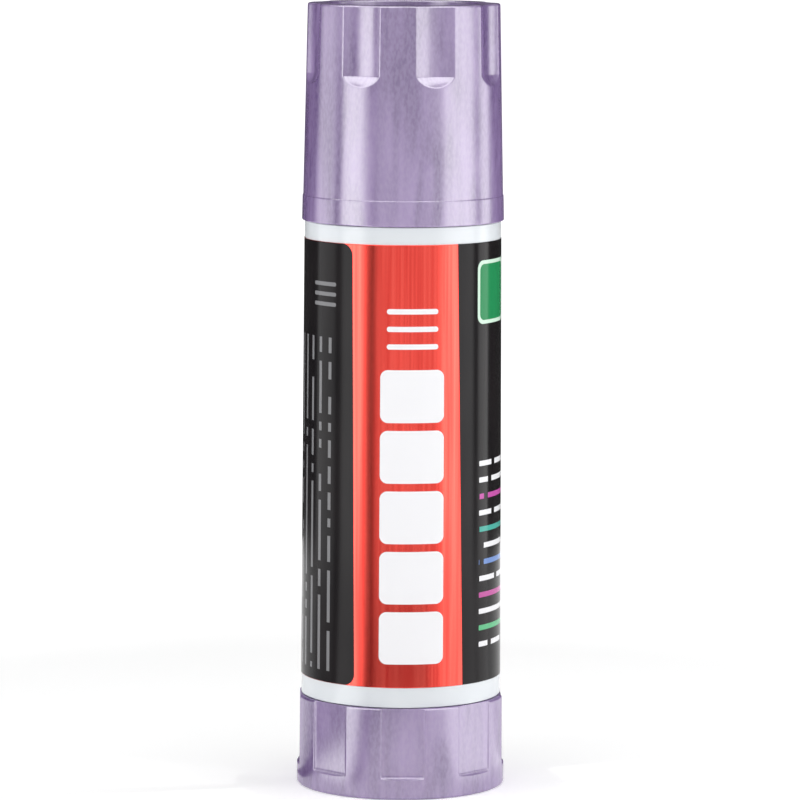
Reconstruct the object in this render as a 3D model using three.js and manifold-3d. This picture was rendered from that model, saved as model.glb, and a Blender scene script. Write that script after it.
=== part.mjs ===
// A twist-up glue stick with its cap on, standing on its base knob.
// Millimetres, +Z up, origin at the centre of the base's underside.
// Turning the knob anticlockwise, seen from above, turns the left-hand screw and lifts the platform.

import * as THREE from "three";
import { mergeVertices } from "three/addons/utils/BufferGeometryUtils.js";
import Module from "manifold-3d";

const wasm = await Module();
wasm.setup();

// Facets per turn of the round surfaces, of the flute cutters and of the screw,
// and steps in a small fillet
const ROUND_STEPS = 64;
const CUTTER_STEPS = 48;
const THREAD_STEPS = 12;
const FILLET_STEPS = 3;

// Clearances between pieces
const SEAT_GAP = 0.3;
const KNOB_CLEARANCE = 0.2;
const HUB_CLEARANCE = 0.25;
const SOCKET_CLEARANCE = 0.12;
const CAP_CLEARANCE = 0.15;
const CAP_UPPER_CLEARANCE = 0.15;
const PLATFORM_CLEARANCE = 0.3;
const GLUE_CLEARANCE = 0.3;
const THREAD_CLEARANCE = 0.3;
const LABEL_GAP = 0.03;

// Barrel: a drafted tube with a floor, a spigot inside the knob and a neck inside the cap
const BORE_RADIUS = 12.8;
const BARREL_WALL = 1.85;
const BARREL_DRAFT = 0.35;
const BARREL_LENGTH = 70.95;
const BARREL_EDGE = 0.15;
const SPIGOT_WALL = 0.8;
const SPIGOT_BELOW_FLOOR = 2.5;
const BARREL_FLOOR = 1.5;
const NECK_WALL = 0.8;
const NECK_LENGTH = 19.2;
const NECK_EDGE = 0.25;
const BEAD_HEIGHT = 0.12;
const BEAD_WIDTH = 1.2;
const BEAD_ABOVE_SHOULDER = 3.4;

// Guide ribs in the bore, which keep the platform from turning
const RIB_COUNT = 4;
const RIB_WIDTH = 1.6;
const RIB_HEIGHT = 0.5;
const RIB_BELOW_RIM = 1.5;

// Base knob: a cup with grip pockets, a hub that turns in the barrel's floor, and a recessed underside
const KNOB_HEIGHT = 13.7;
const KNOB_WALL = 1.78;
const KNOB_DRAFT = 0.09;
const KNOB_FLOOR = 1.6;
const KNOB_RECESS = 0.8;
const KNOB_FOOT_WIDTH = 2.6;
const KNOB_BOTTOM_FILLET = 0.45;
const KNOB_TOP_EDGE = 0.2;
const POCKET_COUNT = 8;
const POCKET_HALF_ANGLE = 11.7;
const POCKET_OFFSET = 1.3;
const POCKET_EDGE_DEPTH = 0.2;
const POCKET_LEDGE = 3.0;
const HUB_WALL = 1.3;
const HUB_ABOVE_FLOOR = 0.3;

// Screw: one left-hand start on a core, with a retaining flange and a square shank
const LEAD = 8.0;
const CORE_RADIUS = 3.0;
const CREST_RADIUS = 3.9;
const CREST_STEPS = 4;
const FLANGE_THICKNESS = 1.2;
const FLANGE_OVERHANG = 1.4;
const SHANK_WIDTH = 5.0;
const NUT_ENGAGEMENT = 7.0;

// Platform: a piston with a nut boss
const PLATFORM_HEIGHT = 10.5;
const PLATFORM_DISC = 1.8;
const PLATFORM_SKIRT = 1.0;
const NUT_WALL = 1.6;
const PLATFORM_STOP_BELOW_RIM = 4.7;

// Glue column
const GLUE_BELOW_RIM = 2.0;
const GLUE_EDGE = 0.5;

// Label: a film wrapped once round the barrel
const LABEL_THICKNESS = 0.06;
const LABEL_TOP_MARGIN = 2.35;
const LABEL_BOTTOM_MARGIN = 2.8;

// Cap: a drafted cup with a collar, flutes open at the top rim, and a dished top
const CAP_WALL = 1.15;
const CAP_DRAFT = 0.68;
const COLLAR_STEP = 0.09;
const COLLAR_HEIGHT = 3.75;
const CAP_MOUTH_EDGE = 0.3;
const CAP_HEADROOM = 9.4;
const CAP_CEILING = 1.2;
const DISH_DEPTH = 2.5;
const RIM_WALL = 2.1;
const RIM_EDGE = 0.25;
const FLUTE_COUNT = 8;
const FLUTE_OFFSET = 19;
const FLUTE_DEPTH = 0.85;
const FLUTE_CUTTER_RADIUS = 8.5;
const FLUTE_END_HEIGHT = 1.6;
const FLUTE_ABOVE_LEDGE = 1.15;

// Finishes
const PEARL_PLASTIC = { color: 0x9b8ab2, roughness: 0.3, metalness: 0.25 };
const WHITE_PLASTIC = { color: 0xe8edf1, roughness: 0.25, metalness: 0 };
const INNER_PLASTIC = { color: 0xe6e8eb, roughness: 0.4, metalness: 0 };
const SOLID_GLUE = { color: 0xf1eee4, roughness: 0.5, metalness: 0 };
const LABEL_FILM = { color: 0x232124, roughness: 0.15, metalness: 0 };

// Radii that follow from the bore outwards
const spigotRadius = BORE_RADIUS + SPIGOT_WALL;
const neckRadius = BORE_RADIUS + NECK_WALL;
const barrelTopRadius = BORE_RADIUS + BARREL_WALL;
const barrelBottomRadius = barrelTopRadius + BARREL_DRAFT;
const knobInnerRadius = spigotRadius + KNOB_CLEARANCE;
const knobTopRadius = knobInnerRadius + KNOB_WALL;
const knobFootRadius = knobTopRadius + KNOB_DRAFT;
const capInnerRadius = neckRadius + BEAD_HEIGHT + CAP_CLEARANCE;
const capBaseRadius = capInnerRadius + CAP_WALL;
const capTopRadius = capBaseRadius - CAP_DRAFT;
const collarRadius = capBaseRadius + COLLAR_STEP;
const glueRadius = BORE_RADIUS - GLUE_CLEARANCE;
const capUpperRadius = BORE_RADIUS + CAP_UPPER_CLEARANCE;
const platformRadius = BORE_RADIUS - PLATFORM_CLEARANCE;
const socketHalfWidth = SHANK_WIDTH / 2 + SOCKET_CLEARANCE;
const hubRadius = socketHalfWidth * Math.SQRT2 + HUB_WALL;
const hubHoleRadius = hubRadius + HUB_CLEARANCE;
const flangeRadius = hubHoleRadius + FLANGE_OVERHANG;
const nutRadius = CREST_RADIUS + THREAD_CLEARANCE + NUT_WALL;

// Levels that follow from the base upwards
const knobFloorTop = KNOB_RECESS + KNOB_FLOOR;
const spigotBottom = knobFloorTop + SEAT_GAP;
const barrelFloorBottom = spigotBottom + SPIGOT_BELOW_FLOOR;
const barrelFloorTop = barrelFloorBottom + BARREL_FLOOR;
const hubTop = barrelFloorTop + HUB_ABOVE_FLOOR;
const flangeBottom = hubTop + SEAT_GAP;
const flangeTop = flangeBottom + FLANGE_THICKNESS;
const platformBottom = flangeTop + SEAT_GAP;
const platformTop = platformBottom + PLATFORM_HEIGHT;
const barrelBottom = KNOB_HEIGHT + SEAT_GAP;
const shoulder = barrelBottom + BARREL_LENGTH;
const neckTop = shoulder + NECK_LENGTH;
const platformTravel = neckTop - PLATFORM_STOP_BELOW_RIM - platformTop;
const spindleTop = platformBottom + platformTravel + NUT_ENGAGEMENT;
const glueBottom = platformTop + SEAT_GAP;
const glueTop = neckTop - GLUE_BELOW_RIM;
const labelTop = shoulder - LABEL_TOP_MARGIN;
const labelBottom = barrelBottom + LABEL_BOTTOM_MARGIN;
const capBottom = shoulder + SEAT_GAP;
const capLedge = neckTop + SEAT_GAP;
const capCeiling = capLedge + CAP_HEADROOM;
const dishFloor = capCeiling + CAP_CEILING;
const capTop = dishFloor + DISH_DEPTH;
const capSlope = CAP_DRAFT / (capTop - capBottom);

// How far a cutter reaches past the face it cuts through
const OVERSHOOT = 2;

// A closed geometry as a solid for joining and cutting.
function solid(geometry) {
  const bare = geometry.clone();
  bare.deleteAttribute("normal");
  bare.deleteAttribute("uv");
  const merged = mergeVertices(bare, 1e-4);
  return new wasm.Manifold(
    new wasm.Mesh({
      numProp: 3,
      vertProperties: merged.attributes.position.array,
      triVerts: new Uint32Array(merged.index.array),
    }),
  );
}

// A named mesh of a finished solid.
function piece(name, shape, finish) {
  const { vertProperties, triVerts } = shape.getMesh();
  const geometry = new THREE.BufferGeometry();
  geometry.setAttribute("position", new THREE.BufferAttribute(vertProperties, 3));
  geometry.setIndex(new THREE.BufferAttribute(triVerts, 1));
  geometry.computeVertexNormals();
  const mesh = new THREE.Mesh(geometry, new THREE.MeshStandardMaterial(finish));
  mesh.name = name;
  return mesh;
}

// A solid of revolution about Z from [radius, height] pairs, outer wall upwards.
function turned(outline, steps = ROUND_STEPS) {
  const points = outline.map(([radius, height]) => new THREE.Vector2(radius, height));
  return solid(new THREE.LatheGeometry(points, steps).rotateX(Math.PI / 2));
}

// An upright prism over a flat outline.
function prism(outline, bottom, top) {
  const shape = new THREE.Shape(outline.map(([x, y]) => new THREE.Vector2(x, y)));
  const geometry = new THREE.ExtrudeGeometry(shape, { depth: top - bottom, bevelEnabled: false });
  return solid(geometry.translate(0, 0, bottom));
}

// An upright square bar about Z.
function squareBar(half, bottom, top) {
  return prism([[-half, -half], [half, -half], [half, half], [-half, half]], bottom, top);
}

// Cuts evenly spaced copies of a solid, made at azimuth 0 on +X, or adds them.
function repeatAround(body, tool, count, offset, action) {
  let result = body;
  for (let i = 0; i < count; i++) {
    result = result[action](tool.rotate([0, 0, offset + (360 * i) / count]));
  }
  return result;
}

// Points of a fillet that turns from a level face up into an outer wall.
function fillet(wallRadius, faceHeight, radius) {
  const points = [];
  for (let i = 0; i <= FILLET_STEPS; i++) {
    const angle = (Math.PI / 2) * (i / FILLET_STEPS - 1);
    points.push([
      wallRadius - radius * (1 - Math.cos(angle)),
      faceHeight + radius * (1 + Math.sin(angle)),
    ]);
  }
  return points;
}

// The front of the stick faces -Y; an azimuth grows towards +X from there.
const fromFront = (azimuth) => azimuth - 90;

// A left-hand screw about Z, from bottom to top. Its rings lie on levels shared by every screw,
// so that a screw and the thread cut for it are in step.
function screw(coreRadius, crestRadius, bottom, top) {
  const rise = LEAD / THREAD_STEPS;
  const first = Math.floor(bottom / rise) - 1;
  const last = Math.ceil(top / rise) + 1;
  const positions = [];
  const faces = [];
  const at = (ring, step) => (ring - first) * THREAD_STEPS + (step % THREAD_STEPS);
  for (let ring = first; ring <= last; ring++) {
    for (let step = 0; step < THREAD_STEPS; step++) {
      const phase = (((ring + step) % THREAD_STEPS) + THREAD_STEPS) % THREAD_STEPS;
      const radius = phase < CREST_STEPS ? crestRadius : coreRadius;
      const angle = (2 * Math.PI * step) / THREAD_STEPS;
      positions.push(radius * Math.cos(angle), radius * Math.sin(angle), ring * rise);
    }
  }
  for (let ring = first; ring < last; ring++) {
    for (let step = 0; step < THREAD_STEPS; step++) {
      faces.push(at(ring, step), at(ring, step + 1), at(ring + 1, step));
      faces.push(at(ring, step + 1), at(ring + 1, step + 1), at(ring + 1, step));
    }
  }
  const lowCentre = positions.length / 3;
  positions.push(0, 0, first * rise, 0, 0, last * rise);
  for (let step = 0; step < THREAD_STEPS; step++) {
    faces.push(lowCentre, at(first, step + 1), at(first, step));
    faces.push(lowCentre + 1, at(last, step), at(last, step + 1));
  }
  const geometry = new THREE.BufferGeometry();
  geometry.setAttribute("position", new THREE.Float32BufferAttribute(positions, 3));
  geometry.setIndex(faces);
  const trim = turned([[0, bottom], [2 * crestRadius, bottom], [2 * crestRadius, top], [0, top]]);
  return solid(geometry).intersect(trim);
}

// A radial bar on +X: a guide rib, or the room it needs when grown by a clearance.
function ribBar(bottom, top, clearance) {
  const inner = BORE_RADIUS - RIB_HEIGHT - clearance;
  const outer = BORE_RADIUS + Math.min(NECK_WALL, SPIGOT_WALL) / 2;
  const half = RIB_WIDTH / 2 + clearance;
  return prism([[inner, -half], [outer, -half], [outer, half], [inner, half]], bottom, top);
}

const barrelRadiusAt = (level) =>
  barrelBottomRadius - (BARREL_DRAFT * (level - barrelBottom)) / BARREL_LENGTH;

function makeBarrel() {
  const bead = shoulder + BEAD_ABOVE_SHOULDER;
  const tube = turned([
    [hubHoleRadius, barrelFloorBottom],
    [BORE_RADIUS, barrelFloorBottom],
    [BORE_RADIUS, spigotBottom],
    [spigotRadius, spigotBottom],
    [spigotRadius, barrelBottom],
    [barrelBottomRadius - BARREL_EDGE, barrelBottom],
    [barrelBottomRadius, barrelBottom + BARREL_EDGE],
    [barrelTopRadius, shoulder - BARREL_EDGE],
    [barrelTopRadius - BARREL_EDGE, shoulder],
    [neckRadius, shoulder],
    [neckRadius, bead - BEAD_WIDTH / 2],
    [neckRadius + BEAD_HEIGHT, bead],
    [neckRadius, bead + BEAD_WIDTH / 2],
    [neckRadius, neckTop - NECK_EDGE],
    [neckRadius - NECK_EDGE, neckTop],
    [BORE_RADIUS, neckTop],
    [BORE_RADIUS, barrelFloorTop],
    [hubHoleRadius, barrelFloorTop],
    [hubHoleRadius, barrelFloorBottom],
  ]);
  const rib = ribBar(barrelFloorTop, neckTop - RIB_BELOW_RIM, 0);
  return repeatAround(tube, rib, RIB_COUNT, 0, "add");
}

function makeLabel() {
  const inner = (level) => barrelRadiusAt(level) + LABEL_GAP;
  const outer = (level) => inner(level) + LABEL_THICKNESS;
  return turned([
    [inner(labelBottom), labelBottom],
    [outer(labelBottom), labelBottom],
    [outer(labelTop), labelTop],
    [inner(labelTop), labelTop],
    [inner(labelBottom), labelBottom],
  ]);
}

// A grip pocket on +X: a flat-backed hollow, open above and ending in a ledge below.
function pocketCutter() {
  const slant = Math.tan(THREE.MathUtils.degToRad(POCKET_HALF_ANGLE));
  const back = (knobTopRadius - POCKET_EDGE_DEPTH) / Math.hypot(1, slant);
  const far = knobFootRadius + OVERSHOOT;
  const outline = [
    [back, -back * slant],
    [far, -far * slant],
    [far, far * slant],
    [back, back * slant],
  ];
  return prism(outline, POCKET_LEDGE, KNOB_HEIGHT + OVERSHOOT);
}

function makeKnob() {
  const recessRadius = knobFootRadius - KNOB_FOOT_WIDTH;
  const cup = turned([
    [0, KNOB_RECESS],
    [recessRadius, KNOB_RECESS],
    [recessRadius, 0],
    ...fillet(knobFootRadius, 0, KNOB_BOTTOM_FILLET),
    [knobTopRadius, KNOB_HEIGHT - KNOB_TOP_EDGE],
    [knobTopRadius - KNOB_TOP_EDGE, KNOB_HEIGHT],
    [knobInnerRadius, KNOB_HEIGHT],
    [knobInnerRadius, knobFloorTop],
    [hubRadius, knobFloorTop],
    [hubRadius, hubTop],
    [0, hubTop],
  ]);
  const socket = squareBar(socketHalfWidth, knobFloorTop, hubTop + OVERSHOOT);
  const offset = fromFront(POCKET_OFFSET);
  return repeatAround(cup.subtract(socket), pocketCutter(), POCKET_COUNT, offset, "subtract");
}

function makeSpindle() {
  const rod = screw(CORE_RADIUS, CREST_RADIUS, flangeBottom, spindleTop);
  const flange = turned([
    [0, flangeBottom],
    [flangeRadius, flangeBottom],
    [flangeRadius, flangeTop],
    [0, flangeTop],
  ]);
  const shank = squareBar(SHANK_WIDTH / 2, knobFloorTop + SEAT_GAP, flangeTop);
  return rod.add(flange).add(shank);
}

function makePlatform() {
  const piston = turned([
    [0, platformBottom],
    [nutRadius, platformBottom],
    [nutRadius, platformTop - PLATFORM_DISC],
    [platformRadius - PLATFORM_SKIRT, platformTop - PLATFORM_DISC],
    [platformRadius - PLATFORM_SKIRT, platformBottom],
    [platformRadius, platformBottom],
    [platformRadius, platformTop],
    [0, platformTop],
  ]);
  const bottom = platformBottom - OVERSHOOT;
  const top = platformTop + OVERSHOOT;
  const core = CORE_RADIUS + THREAD_CLEARANCE;
  const thread = screw(core, CREST_RADIUS + THREAD_CLEARANCE, bottom, top);
  const notch = ribBar(bottom, top, PLATFORM_CLEARANCE);
  return repeatAround(piston.subtract(thread), notch, RIB_COUNT, 0, "subtract");
}

function makeGlue() {
  const hole = CREST_RADIUS + GLUE_CLEARANCE;
  const holeTop = spindleTop + SEAT_GAP;
  const column = turned([
    [0, holeTop],
    [hole, holeTop],
    [hole, glueBottom],
    [glueRadius, glueBottom],
    [glueRadius, glueTop - GLUE_EDGE],
    [glueRadius - GLUE_EDGE, glueTop],
    [0, glueTop],
  ]);
  const groove = ribBar(glueBottom - OVERSHOOT, glueTop + OVERSHOOT, GLUE_CLEARANCE);
  return repeatAround(column, groove, RIB_COUNT, 0, "subtract");
}

// A flute cutter on +X: a round bar along the cap's sloping wall, whose chamfered lower end
// makes the slanted facet where the flute runs out.
function fluteCutter() {
  const straight = capLedge + FLUTE_ABOVE_LEDGE + FLUTE_END_HEIGHT;
  const top = capTop + OVERSHOOT - straight;
  const end = FLUTE_END_HEIGHT + OVERSHOOT;
  const chamfer = (FLUTE_DEPTH / FLUTE_END_HEIGHT) * end;
  const bar = turned([
    [0, -end],
    [FLUTE_CUTTER_RADIUS - chamfer, -end],
    [FLUTE_CUTTER_RADIUS, 0],
    [FLUTE_CUTTER_RADIUS, top],
    [0, top],
  ], CUTTER_STEPS);
  const wall = capTopRadius + capSlope * (capTop - straight);
  const tilt = -THREE.MathUtils.radToDeg(Math.atan(capSlope));
  return bar.rotate([0, tilt, 0]).translate([wall - FLUTE_DEPTH + FLUTE_CUTTER_RADIUS, 0, straight]);
}

function makeCap() {
  const dishRadius = capTopRadius - FLUTE_DEPTH - RIM_WALL;
  const collarTop = capBottom + COLLAR_HEIGHT;
  const collarDraft = capSlope * COLLAR_HEIGHT;
  const cup = turned([
    [0, capCeiling],
    [capUpperRadius, capCeiling],
    [capUpperRadius, capLedge],
    [capInnerRadius, capLedge],
    [capInnerRadius, capBottom + CAP_MOUTH_EDGE],
    [capInnerRadius + CAP_MOUTH_EDGE, capBottom],
    [collarRadius, capBottom],
    [collarRadius - collarDraft, collarTop],
    [capBaseRadius - collarDraft, collarTop],
    [capTopRadius + capSlope * RIM_EDGE, capTop - RIM_EDGE],
    [capTopRadius - RIM_EDGE, capTop],
    [dishRadius, capTop],
    [dishRadius, dishFloor],
    [0, dishFloor],
  ]);
  return repeatAround(cup, fluteCutter(), FLUTE_COUNT, fromFront(FLUTE_OFFSET), "subtract");
}

const stick = new THREE.Group();
stick.add(
  piece("base_knob", makeKnob(), PEARL_PLASTIC),
  piece("spindle", makeSpindle(), INNER_PLASTIC),
  piece("platform", makePlatform(), INNER_PLASTIC),
  piece("glue", makeGlue(), SOLID_GLUE),
  piece("barrel", makeBarrel(), WHITE_PLASTIC),
  piece("label", makeLabel(), LABEL_FILM),
  piece("cap", makeCap(), PEARL_PLASTIC),
);

export default stick;
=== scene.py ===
# %% [markdown]
# # A twist-up glue stick, dressed for its photograph
#
# The stick is packed as a CAD frame: seven solids on four bodies, joined by three joints.
# This lesson puts a finished piece over each solid, with moulded edges and real surfaces, and
# lights it like a product on a white table. The first cell loads the frame and prints the lowest
# and highest level of each node. The levels further down start from the boxes of the nodes.

# %% Load the frame
import math

import bpy
from mathutils import Euler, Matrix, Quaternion, Vector


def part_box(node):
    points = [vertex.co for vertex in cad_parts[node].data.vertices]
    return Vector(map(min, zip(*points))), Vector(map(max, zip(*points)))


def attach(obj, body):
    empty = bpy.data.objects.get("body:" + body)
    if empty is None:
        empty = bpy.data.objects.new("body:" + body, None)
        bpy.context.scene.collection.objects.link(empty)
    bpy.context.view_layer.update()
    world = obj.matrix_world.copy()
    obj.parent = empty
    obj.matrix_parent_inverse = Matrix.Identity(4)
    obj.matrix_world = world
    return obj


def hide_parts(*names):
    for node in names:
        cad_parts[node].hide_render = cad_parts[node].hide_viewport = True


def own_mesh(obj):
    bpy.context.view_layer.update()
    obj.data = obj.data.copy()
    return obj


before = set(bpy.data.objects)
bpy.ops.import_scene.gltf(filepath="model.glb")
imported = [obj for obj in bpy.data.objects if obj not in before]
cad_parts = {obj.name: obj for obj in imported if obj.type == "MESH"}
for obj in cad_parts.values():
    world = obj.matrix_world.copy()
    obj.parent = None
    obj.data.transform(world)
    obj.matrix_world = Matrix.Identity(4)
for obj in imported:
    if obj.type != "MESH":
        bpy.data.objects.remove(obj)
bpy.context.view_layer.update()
MM = 0.001


def levels(node):
    """The lowest and highest level of a CAD node, in millimetres."""
    low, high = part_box(node)
    return low[2] / MM, high[2] / MM


def linked(name, data):
    """A new object in the scene."""
    made = bpy.data.objects.new(name, data)
    bpy.context.scene.collection.objects.link(made)
    return made


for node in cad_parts:
    low, high = levels(node)
    print(f"{node}: {low:.2f} to {high:.2f} mm high")

# %% [markdown]
# ## The camera
#
# The photograph was taken from far away with a long lens: the rings of the cap, the label and
# the base open only a little from top to bottom. Fitting those rings gives a camera about
# 0.72 m in front of the stick and a little above its top, looking down by less than seven
# degrees. A long lens keeps the two sides of the stick nearly parallel, so the lens matters
# here as much as the place. The tiny roll follows the stick's lean in the photograph.

# %% Camera
CAMERA_DISTANCE = 718 * MM
CAMERA_HEIGHT = 143 * MM
CAMERA_SIDE = -0.31 * MM
CAMERA_PITCH = 6.75
CAMERA_ROLL = 0.3
CAMERA_LENS = 216.5

lens = bpy.data.cameras.new("camera")
lens.lens = CAMERA_LENS
lens.sensor_width = 36
lens.clip_start = 0.01
camera = linked("camera", lens)
camera.location = (CAMERA_SIDE, -CAMERA_DISTANCE, CAMERA_HEIGHT)
camera.rotation_mode = "QUATERNION"
tilt = Euler((math.radians(90 - CAMERA_PITCH), 0, 0)).to_quaternion()
roll = Quaternion((0, 0, 1), math.radians(CAMERA_ROLL))
camera.rotation_quaternion = tilt @ roll
bpy.context.scene.camera = camera
print(f"camera {CAMERA_DISTANCE:.3f} m in front, {CAMERA_LENS} mm lens")

# %% [markdown]
# ## Profiles
#
# Nearly every piece here is turned: a profile goes once round the axis. The CAD solids have
# flat facets and sharp corners, but moulded plastic has a small radius at each edge, and those
# radii catch the light. So each profile is written as corners with a fillet radius, and a
# helper rounds them.
#
# Smooth shading blends the normals over each face. A long wall beside a fillet would be shaded
# as if it bulged, and its reflections would bend. So each long straight gets a point close to
# both ends, as support loops do in hand modelling. A last helper adds rows where a pressed form
# needs more points.

# %% Profiles with rounded corners
FILLET_STEPS = 4
SUPPORT = 0.12
NEARLY_STRAIGHT = 3.1


def fillet_arc(before, corner, after):
    """The points that round one corner of a profile."""
    x, y, fillet = corner
    into = Vector((before[0] - x, before[1] - y)).normalized()
    out = Vector((after[0] - x, after[1] - y)).normalized()
    turn = into.angle(out)
    if fillet == 0 or turn > NEARLY_STRAIGHT:
        return [(x, y)]
    reach = fillet / math.tan(turn / 2)
    centre = Vector((x, y)) + (into + out).normalized() * fillet / math.sin(turn / 2)
    first = Vector((x, y)) + into * reach - centre
    last = Vector((x, y)) + out * reach - centre
    start = math.atan2(first.y, first.x)
    sweep = (math.atan2(last.y, last.x) - start + math.pi) % (2 * math.pi) - math.pi
    angles = [start + sweep * i / FILLET_STEPS for i in range(FILLET_STEPS + 1)]
    return [(centre.x + fillet * math.cos(a), centre.y + fillet * math.sin(a)) for a in angles]


def supported(points):
    """The same profile with a point close to both ends of each long straight."""
    result = [points[0]]
    for (x0, y0), (x1, y1) in zip(points, points[1:]):
        length = math.hypot(x1 - x0, y1 - y0)
        if length > 4 * SUPPORT:
            for share in (SUPPORT / length, 1 - SUPPORT / length):
                result.append((x0 + (x1 - x0) * share, y0 + (y1 - y0) * share))
        result.append((x1, y1))
    return result


def rounded(corners):
    """Points of an open profile from (radius, height, fillet) corners, in millimetres."""
    points = [corners[0][:2]]
    for before, corner, after in zip(corners, corners[1:], corners[2:]):
        points.extend(fillet_arc(before, corner, after))
    points.append(corners[-1][:2])
    return supported(points)


def with_rows(points, rows, least_radius):
    """The same profile with extra points at the given levels of its outer wall."""
    result = [points[0]]
    for (x0, y0), (x1, y1) in zip(points, points[1:]):
        if min(x0, x1) > least_radius and y1 > y0:
            for row in rows:
                if y0 + 0.01 < row < y1 - 0.01:
                    result.append((x0 + (x1 - x0) * (row - y0) / (y1 - y0), row))
        result.append((x1, y1))
    return result


def spread(low, high, count):
    """Evenly spaced levels from low to high."""
    return [low + (high - low) * i / (count - 1) for i in range(count)]


example = rounded([(0, 0, 0), (2, 0, 0.5), (2, 3, 0)])
print(f"two walls and a corner of 0.5 mm make {len(example)} points")

# %% [markdown]
# ## The turning tree
#
# A Screw modifier or Spin would turn a profile too. A Geometry Nodes tree is used instead,
# because the flutes, pockets, ribs and threads can then be pressed into the turned surface by
# a rule, in the same tree. The profile is a row of loose points. The tree makes a flat grid,
# one column for each step round the axis and one row for each point, and bends it round. Where
# two columns or a whole row meet, as at the seam and at the poles, Merge by Distance closes it.
#
# Each profile point carries three weights, which say how far it follows a pressed form, a
# thread and a square bar's flat sides. The forms move a point along its radius only.
#
# A rule is easier to read as a sum than as a chain of Math nodes.

# %% Profile points with their weights
WEIGHTS = ("press", "thread", "square")


def nowhere(radius, height):
    """The weight of a form that a piece doesn't have."""
    return 0.0


def profile_object(name, points, press=nowhere, thread=nowhere, square=nowhere):
    """A row of vertices in the XZ plane, each with its weights."""
    mesh = bpy.data.meshes.new(name)
    mesh.from_pydata([(r * MM, 0, z * MM) for r, z in points], [], [])
    for weight, rule in zip(WEIGHTS, (press, thread, square)):
        values = mesh.attributes.new(weight, "FLOAT", "POINT")
        for i, (r, z) in enumerate(points):
            values.data[i].value = rule(r, z)
    return linked(name, mesh)


# %% A small kit for node trees
class Value:
    """A number inside a node tree. Ordinary + - * / on it add Math nodes."""

    def __init__(self, nodes, socket):
        self.nodes, self.socket = nodes, socket

    def __add__(self, other):
        return self.nodes.maths("ADD", self, other)

    def __sub__(self, other):
        return self.nodes.maths("SUBTRACT", self, other)

    def __rsub__(self, other):
        return self.nodes.maths("SUBTRACT", other, self)

    def __mul__(self, other):
        return self.nodes.maths("MULTIPLY", self, other)

    def __truediv__(self, other):
        return self.nodes.maths("DIVIDE", self, other)

    def __rtruediv__(self, other):
        return self.nodes.maths("DIVIDE", other, self)

    def __neg__(self):
        return self * -1.0

    def __abs__(self):
        return self.nodes.maths("ABSOLUTE", self)


class Nodes:
    """Short calls for nodes, links and maths in any node tree."""

    def __init__(self, group):
        self.group = group

    def node(self, kind, **settings):
        made = self.group.nodes.new(kind)
        for key, value in settings.items():
            setattr(made, key, value)
        return made

    def read(self, node, output=0):
        """An output of a node, to calculate with."""
        return Value(self, node.outputs[output])

    def plug(self, value, socket):
        """Links a value to a socket, or sets a plain number on it."""
        if isinstance(value, Value):
            value = value.socket
        if isinstance(value, bpy.types.NodeSocket):
            self.group.links.new(value, socket)
        else:
            socket.default_value = value

    def fed(self, kind, inputs, output=0, **settings):
        """An output of a new node, after its inputs are linked or set."""
        made = self.node(kind, **settings)
        for name, value in inputs.items():
            self.plug(value, made.inputs[name])
        return self.read(made, output)

    def maths(self, operation, *values):
        return self.fed("ShaderNodeMath", dict(enumerate(values)), operation=operation)

    def most(self, a, b):
        return self.maths("MAXIMUM", a, b)

    def least(self, a, b):
        return self.maths("MINIMUM", a, b)

    def share(self, value):
        """The value held between 0 and 1."""
        return self.most(self.least(value, 1.0), 0.0)

    def length(self, x, y):
        """The length of a flat vector."""
        return self.maths("SQRT", x * x + y * y)

    def parts(self, vector):
        split = self.node("ShaderNodeSeparateXYZ")
        self.plug(vector, split.inputs[0])
        return [self.read(split, i) for i in range(3)]

    def joined(self, x, y, z):
        return self.fed("ShaderNodeCombineXYZ", {0: x, 1: y, 2: z})


class Tree(Nodes):
    """A Geometry Nodes tree under construction."""

    def __init__(self, name):
        super().__init__(bpy.data.node_groups.new(name, "GeometryNodeTree"))
        sockets = self.group.interface
        sockets.new_socket("Geometry", in_out="INPUT", socket_type="NodeSocketGeometry")
        sockets.new_socket("Geometry", in_out="OUTPUT", socket_type="NodeSocketGeometry")
        self.inputs = self.group.nodes.new("NodeGroupInput")
        self.output = self.group.nodes.new("NodeGroupOutput")

    def size(self, name, kind="NodeSocketFloat"):
        self.group.interface.new_socket(name, in_out="INPUT", socket_type=kind)
        return self.read(self.inputs, name)

    def weight(self, name):
        kind = "GeometryNodeInputNamedAttribute"
        return self.fed(kind, {"Name": name}, "Attribute", data_type="FLOAT")

    def sampled(self, shape, value, index, kind):
        inputs = {"Geometry": shape, "Value": value, "Index": index}
        return self.fed("GeometryNodeSampleIndex", inputs, data_type=kind, domain="POINT")

    def placed(self, shape, position):
        return self.fed("GeometryNodeSetPosition", {"Geometry": shape, "Position": position})


# %% Turning, in nodes
WELD_DISTANCE = 0.002 * MM


def around(tree, angle, radius, height):
    """A position from an angle from the front (-Y), a radius and a height."""
    x = radius * tree.maths("SINE", angle)
    y = -(radius * tree.maths("COSINE", angle))
    return tree.joined(x, y, height)


def polar(tree):
    """Angle from the front towards +X, radius and height of each point."""
    x, y, z = tree.parts(tree.fed("GeometryNodeInputPosition", {}))
    angle = tree.maths("ARCTAN2", x, -y)
    return angle, tree.length(x, y), z


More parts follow.
